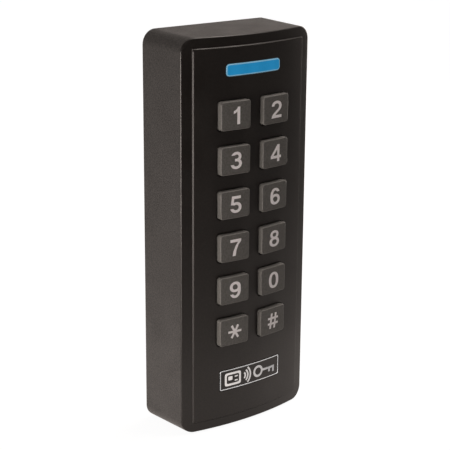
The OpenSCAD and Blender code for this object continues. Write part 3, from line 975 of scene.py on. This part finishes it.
def solid_from_outlines(name, loops, material, place):
    """Fills closed 2D outlines, holes included, and gives them thickness. place(x, z, side) returns the point in
    millimetres for side 0 (outer face) or 1 (inner face)."""
    pts, edges = [], []
    for l in loops:
        n0 = len(pts)
        pts += [(float(p[0]), float(p[1])) for p in l]
        edges += [(n0 + k, n0 + (k + 1) % len(l)) for k in range(len(l))]

    def inside(x, z):
        odd = False
        for l in loops:
            x0, z0 = l[:, 0], l[:, 1]
            x1, z1 = np.roll(x0, -1), np.roll(z0, -1)
            hit = (z0 > z) != (z1 > z)
            with np.errstate(divide="ignore", invalid="ignore"):
                cross = x0 + (z - z0) / (z1 - z0) * (x1 - x0)
            odd ^= bool(np.count_nonzero(hit & (x < cross)) % 2)
        return odd

    allp = np.concatenate(loops)
    seg_a = np.concatenate(loops)
    seg_b = np.concatenate([np.roll(l, -1, axis=0) for l in loops])
    lo, hi = allp.min(0), allp.max(0)
    step = 0.55
    for x in np.arange(lo[0] + 0.3, hi[0], step):
        for z in np.arange(lo[1] + 0.3, hi[1], step):
            e = seg_b - seg_a
            t = np.clip(((x - seg_a[:, 0]) * e[:, 0] + (z - seg_a[:, 1]) * e[:, 1]) / ((e**2).sum(1) + 1e-12), 0, 1)
            near = np.hypot(x - seg_a[:, 0] - t * e[:, 0], z - seg_a[:, 1] - t * e[:, 1]).min()
            if near > 0.16 and inside(x, z):
                pts.append((float(x), float(z)))
    vs, _, fs, *_ = delaunay_2d_cdt([Vector(p) for p in pts], edges, [], 0, 1e-6)
    vs = [(v.x, v.y) for v in vs]
    tris = [f for f in fs if inside(sum(vs[k][0] for k in f) / 3, sum(vs[k][1] for k in f) / 3)]
    count = {}
    for f in tris:
        for a, b in zip(f, (*f[1:], f[0])):
            count[frozenset((a, b))] = count.get(frozenset((a, b)), 0) + 1
    used = sorted({k for f in tris for k in f})
    new = {k: i for i, k in enumerate(used)}
    n = len(used)
    verts = [place(*vs[k], 0) for k in used] + [place(*vs[k], 1) for k in used]
    faces = [tuple(new[k] for k in f) for f in tris] + [tuple(new[k] + n for k in f[::-1]) for f in tris]
    for f in tris:
        for a, b in zip(f, (*f[1:], f[0])):
            if count[frozenset((a, b))] == 1:
                faces.append((new[b], new[a], new[a] + n, new[b] + n))
    me = bpy.data.meshes.new(name)
    me.from_pydata([[c * MM for c in v] for v in verts], [], faces)
    me.materials.append(material)
    bm = bmesh.new()
    bm.from_mesh(me)
    bmesh.ops.recalc_face_normals(bm, faces=bm.faces)
    bm.to_mesh(me)
    bm.free()
    o = bpy.data.objects.new(name, me)
    bpy.context.scene.collection.objects.link(o)
    return o


for key_name in KEYS:
    cx, cz = KEY_AT[key_name]
    wide = {"2": 1.10, "6": 1.07, "8": 1.07, "0": 1.05, "9": 1.05}.get(key_name, 1.03)
    loops = [l * np.array([wide, 0.955]) for l in glyph_field(key_name).outlines()]

    def on_key(x, z, side, cx=cx, cz=cz):
        X, Z = cx + x, cz + z
        return (X, float(surf(X, 2.45 + (0.035 if side == 0 else -0.16))), Z)

    o = solid_from_outlines("legend_" + key_name, loops, MAT["ink"], on_key)
    finish_piece(o, "key_" + key_name, "key_plastic")


# ---------------------------------------------------------------- status light
def make_lens():
    M = Mesh()
    cx, cz, a, b = LIGHT
    tx, tz = even(32), even(8)
    rf = 0.22
    top = PROUD + 0.05

    def loop(d, off, r):
        return M.ring(lift(rr_loop(cx, cz, a - d, b - d, r, tx, tz, 2), at(off)))

    edge = 0.42
    inner = loop(edge, top, 1.25 - edge)
    mid = M.ring(lift(rr_loop(cx, cz, a - edge - 0.5, (b - edge) * 0.12, 0.1, tx, tz, 2), at(top)))
    M.bridge(mid, inner, 0)
    lower = mid[:33]
    upper = mid[40:73][::-1]
    M.grid([lower, upper], 0)
    M.cap(mid[32:41], 0)
    M.cap(mid[72:80] + [mid[0]], 0)
    seq = [inner, loop(rf, top, 1.25 - rf)]
    for ang in np.linspace(0, math.pi / 2, 5)[1:]:
        seq.append(loop(rf * (1 - math.sin(ang)), top - rf * (1 - math.cos(ang)), 1.25 - rf * (1 - math.sin(ang))))
    seq.append(loop(0, -PANEL_T - 0.1, 1.25))
    seq.append(M.ring(lift(rr_loop(cx, cz, a + 1.2, b + 0.8, 1.6, tx, tz, 2), at(-PANEL_T - 0.1))))
    seq.append(M.ring(lift(rr_loop(cx, cz, a + 1.2, b + 0.8, 1.6, tx, tz, 2), at(-PANEL_T - 1.1))))
    last = M.ring(lift(rr_loop(cx, cz, a - 1, b * 0.12, 0.1, tx, tz, 2), at(-PANEL_T - 1.1)))
    for k, (p, q) in enumerate(zip(seq, seq[1:])):
        M.bridge(p, q, 1 if k < 6 else 0)
    M.bridge(seq[-1], last, 0)
    M.grid([last[:33], last[40:73][::-1]], 0)
    M.cap(last[32:41], 0)
    M.cap(last[72:80] + [last[0]], 0)
    o = M.build("status_bar", [MAT["blue"], MAT["cyan"]], sharp=50)
    return finish_piece(o, ROOT, "status_blue", "status_lens")


make_lens()


# ---------------------------------------------------------------- nameplate
def make_nameplate():
    M = Mesh()
    cx, cz, a, b = NAME
    tx, tz = even(32), even(12)
    top = PROUD + 0.1
    rf = 0.1

    def loop(d, off, r=0.45):
        return M.ring(lift(rr_loop(cx, cz, a - d, b - d, max(r - d, 0.05), tx, tz, 2), at(off)))

    def middle(off):
        m = M.ring(lift(rr_loop(cx, cz, a - 0.6, b * 0.1, 0.05, tx, tz, 2), at(off)))
        M.grid([m[:33], m[44:77][::-1]])
        M.cap(m[32:45])
        M.cap(m[76:88] + [m[0]])
        return m

    seq = [middle(top), loop(0.6, top), loop(rf, top)]
    for ang in np.linspace(0, math.pi / 2, 4)[1:]:
        seq.append(loop(rf * (1 - math.sin(ang)), top - rf * (1 - math.cos(ang))))
    seq.append(loop(0, PROUD - 0.5))
    seq.append(middle(PROUD - 0.5))
    for p, q in zip(seq, seq[1:]):
        M.bridge(p, q)
    o = M.build("name_plate", [MAT["name"]], sharp=50)
    finish_piece(o, ROOT, "nameplate_black", "nameplate")
    # silver frame line
    M = Mesh()
    w = 0.34

    def fl(d, off, r):
        return M.ring(lift(rr_loop(cx, cz, a - d, b - d, r, tx, tz, 2), at(off)))

    seq = [fl(0.12, top - 0.02, 0.5), fl(0.15, top + 0.05, 0.5), fl(0.12 + w - 0.03, top + 0.05, 0.3), fl(0.12 + w, top - 0.02, 0.3)]
    for p, q in zip(seq, seq[1:] + seq[:1]):
        M.bridge(p, q)
    o = M.build("name_frame", [MAT["silver"]], sharp=40)
    finish_piece(o, ROOT, "nameplate_black")
    # generic signs: a card, radio waves and a key
    F = Field(a, b, 0.045)
    card = F.superellipse(-8.7, 0, 3.7, 2.65, 8)
    hollow = F.superellipse(-8.7, 0, 2.85, 1.80, 8)
    F.add(np.maximum(card, -hollow), F.superellipse(-9.9, 0.35, 0.95, 0.80, 6), F.bar(-7.9, 0.75, -6.5, 0.75, 0.5), F.bar(-7.9, -0.9, -6.5, -0.9, 0.5))
    for r in (1.5, 2.75, 4.0):
        ring = np.abs(np.hypot(F.x + 4.4, F.z) - r) - 0.36
        F.add(np.maximum(ring, np.maximum(-F.half(-4.4, 0, 0.76, 0.65), -F.half(-4.4, 0, 0.76, -0.65))))
    F.add(np.abs(np.hypot(F.x - 3.5, F.z) - 1.95) - 0.46, F.bar(5.6, 0, 12.1, 0, 0.95), F.bar(11.6, 0, 11.6, -2.2, 0.95), F.bar(9.4, 0, 9.4, -1.75, 0.95))

    def on_plate(x, z, side):
        X, Z = cx + x, cz + z
        return (X, float(surf(X, top + (0.06 if side == 0 else -0.12))), Z)

    # the signs use the foil with painted shine, bright at the left and dull at the right
    o = solid_from_outlines("name_signs", F.outlines(), MAT["chrome"], on_plate)
    finish_piece(o, ROOT, "nameplate_black")


make_nameplate()


# ---------------------------------------------------------------- lock screw
def make_lock_screw():
    M = Mesh()
    lo, hi = box_mm("lock_screw")
    cy = (lo.y + hi.y) / 2
    r = (hi.x - lo.x) / 2
    n = 48

    def circle(rad, z, hexa=0.0):
        pts = []
        for i in range(n):
            a = 2 * math.pi * i / n
            k = rad
            if hexa:
                s = (a % (math.pi / 3)) - math.pi / 6
                k = hexa * math.cos(math.pi / 6) / math.cos(s)
            pts.append((k * math.cos(a), cy + k * math.sin(a), z))
        return M.ring(pts)

    z0 = lo.z
    seq = [circle(0, z0 + 1.35, 1.1), circle(0, z0 + 0.12, 1.12), circle(0, z0, 1.24), circle(1.9, z0), circle(r - 0.35, z0 + 0.06), circle(r - 0.1, z0 + 0.2), circle(r, z0 + 0.45),
           circle(r, z0 + 1.85), circle(1.45, z0 + 1.9), circle(1.45, hi.z - 0.4), circle(1.1, hi.z)]
    for a, b in zip(seq, seq[1:]):
        M.bridge(a, b)
    M.cap(seq[0])
    M.cap(seq[-1])
    o = M.build("lock_screw_head", [MAT["steel"]], sharp=40)
    return finish_piece(o, ROOT, "screw_steel", "lock_screw")


make_lock_screw()

# the wall plate keeps its CAD shape
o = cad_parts["wall_plate"]
o.data.materials.clear()
o.data.materials.append(MAT["plate"])

# ---------------------------------------------------------------- floor, light, camera
FLOOR_Z = H_LO.z * MM
WARM = (1.06, 0.945, 0.875)


def stage_plane(name, size, location, rotation, material, camera=True):
    me = bpy.data.meshes.new(name)
    s = size / 2
    me.from_pydata([(-s, -s, 0), (s, -s, 0), (s, s, 0), (-s, s, 0)], [], [(0, 1, 2, 3)])
    me.materials.append(material)
    o = bpy.data.objects.new(name, me)
    o.location = location
    o.rotation_euler = rotation
    bpy.context.scene.collection.objects.link(o)
    o.visible_camera = camera
    return o


def emitter(name, stops, reach, diffuse=0.0, tint=(1, 1, 1)):
    """A stage surface that glows by its distance from the object's foot: over a little plain diffuse white, or clear."""
    m = bpy.data.materials.new(name)
    m.use_nodes = True
    nt = m.node_tree
    nt.nodes.clear()
    out = nt.nodes.new("ShaderNodeOutputMaterial")
    add = nt.nodes.new("ShaderNodeAddShader")
    em = nt.nodes.new("ShaderNodeEmission")
    length = nt.nodes.new("ShaderNodeVectorMath")
    length.operation = "LENGTH"
    nt.links.new(coords(nt), length.inputs[0])
    nt.links.new(ramp(nt, remap(nt, length.outputs["Value"], 0, 1, 0, reach), [(p, tuple(v * c for c in tint)) for p, v in stops]), em.inputs["Color"])
    df = nt.nodes.new("ShaderNodeBsdfDiffuse" if diffuse else "ShaderNodeBsdfTransparent")
    df.inputs["Color"].default_value = (diffuse, diffuse, diffuse, 1) if diffuse else (1, 1, 1, 1)
    nt.links.new(em.outputs[0], add.inputs[0])
    nt.links.new(df.outputs[0], add.inputs[1])
    nt.links.new(add.outputs[0], out.inputs[0])
    return m


# the pale floor is what the camera sees; a second, unseen sheet is what the glossy surfaces reflect
floor = stage_plane("floor", 8.0, (0, 0, FLOOR_Z), (0, 0, 0), emitter("pale_floor", [(0, 0.95), (0.4, 1.0)], 4.0, 0.12))
floor.visible_diffuse = False
floor.visible_glossy = False
floor.visible_shadow = False
sheet = stage_plane("reflector_sheet", 3.0, (0, 0, FLOOR_Z - 0.0005), (0, 0, 0), emitter("reflector", [(0.0, 0.45), (0.05, 0.52), (0.085, 0.74), (0.165, 0.68), (0.20, 0.52), (0.25, 0.38), (0.33, 0.42), (0.385, 0.26), (0.56, 0.20), (0.62, 0.0)], 0.6, tint=WARM), camera=False)
sheet.visible_diffuse = False
sheet.visible_shadow = False

world = bpy.data.worlds.new("studio")
world.use_nodes = True
wn = world.node_tree
wn.nodes.clear()
w_out = wn.nodes.new("ShaderNodeOutputWorld")
w_mix = wn.nodes.new("ShaderNodeMixShader")
w_path = wn.nodes.new("ShaderNodeLightPath")
w_seen = wn.nodes.new("ShaderNodeBackground")
w_seen.inputs["Color"].default_value = (1, 1, 1, 1)
w_seen.inputs["Strength"].default_value = 1.0
w_lit = wn.nodes.new("ShaderNodeBackground")
w_lit.inputs["Color"].default_value = (*WARM, 1)
w_co = wn.nodes.new("ShaderNodeTexCoord")
w_sep = wn.nodes.new("ShaderNodeSeparateXYZ")
wn.links.new(w_co.outputs["Generated"], w_sep.inputs[0])
w_sum = wn.nodes.new("ShaderNodeMath")
w_sum.operation = "ADD"
w_low = wn.nodes.new("ShaderNodeMath")
w_low.operation = "MULTIPLY"
wn.links.new(remap(wn, w_sep.outputs[1], 0.0, 0.95, 0.2, 0.9), w_low.inputs[0])
wn.links.new(remap(wn, w_sep.outputs[2], 1.0, 0.58, -0.1, 0.4), w_low.inputs[1])
wn.links.new(w_low.outputs[0], w_sum.inputs[0])
wn.links.new(remap(wn, w_sep.outputs[0], 0.0, 0.155, 0.2, 0.9), w_sum.inputs[1])
wn.links.new(w_sum.outputs[0], w_lit.inputs["Strength"])
wn.links.new(w_path.outputs["Is Camera Ray"], w_mix.inputs[0])
wn.links.new(w_lit.outputs[0], w_mix.inputs[1])
wn.links.new(w_seen.outputs[0], w_mix.inputs[2])
wn.links.new(w_mix.outputs[0], w_out.inputs[0])
bpy.context.scene.world = world


def softbox(name, direction, distance, width, height, power, target=(0, -0.015, 0.0), colour=WARM):
    d = Vector(direction).normalized()
    li = bpy.data.lights.new(name, "AREA")
    li.shape = "RECTANGLE"
    li.size, li.size_y = width, height
    li.energy = power
    li.color = colour
    o = bpy.data.objects.new(name, li)
    o.location = Vector(target) + d * distance
    o.rotation_euler = d.to_track_quat("Z", "Y").to_euler()
    bpy.context.scene.collection.objects.link(o)
    return o


softbox("left_panel", (-0.95, -0.05, -0.02), 0.6, 0.4, 0.3, 1.03)
softbox("front_left_panel", (-0.90, -0.38, -0.12), 0.4, 0.16, 0.12, 0.84)
softbox("front_fill", (-0.2, -0.95, 0.3), 0.8, 0.5, 0.5, 0.21)
softbox("top_panel", (0, -0.1, 1.0), 0.8, 0.5, 0.5, 0.8)
softbox("top_front_panel", (0.42, -0.32, 0.8), 0.8, 0.3, 0.3, 2.1)
softbox("top_right_panel", (0.38, 0.03, 0.92), 0.8, 0.3, 0.3, 1.9)
# behind the plane of the front, so it only reaches the right side
softbox("right_panel", (0.92, 0.38, 0.06), 0.7, 0.5, 0.4, 3.0)

cam_data = bpy.data.cameras.new("camera")
cam_data.sensor_width = 36.0
cam_data.lens = 106.078
cam_data.clip_start, cam_data.clip_end = 0.01, 20
cam = bpy.data.objects.new("camera", cam_data)
bpy.context.scene.collection.objects.link(cam)
right = Vector((0.780994, -0.624507, 0.006331))
up = Vector((0.172972, 0.226033, 0.958639))
back = -Vector((0.600108, 0.747596, -0.284553))
cam.matrix_world = Matrix(((right.x, up.x, back.x, -0.304278), (right.y, up.y, back.y, -0.389721), (right.z, up.z, back.z, 0.14387), (0, 0, 0, 1)))
bpy.context.scene.camera = cam
bpy.context.scene.view_settings.view_transform = "Standard"
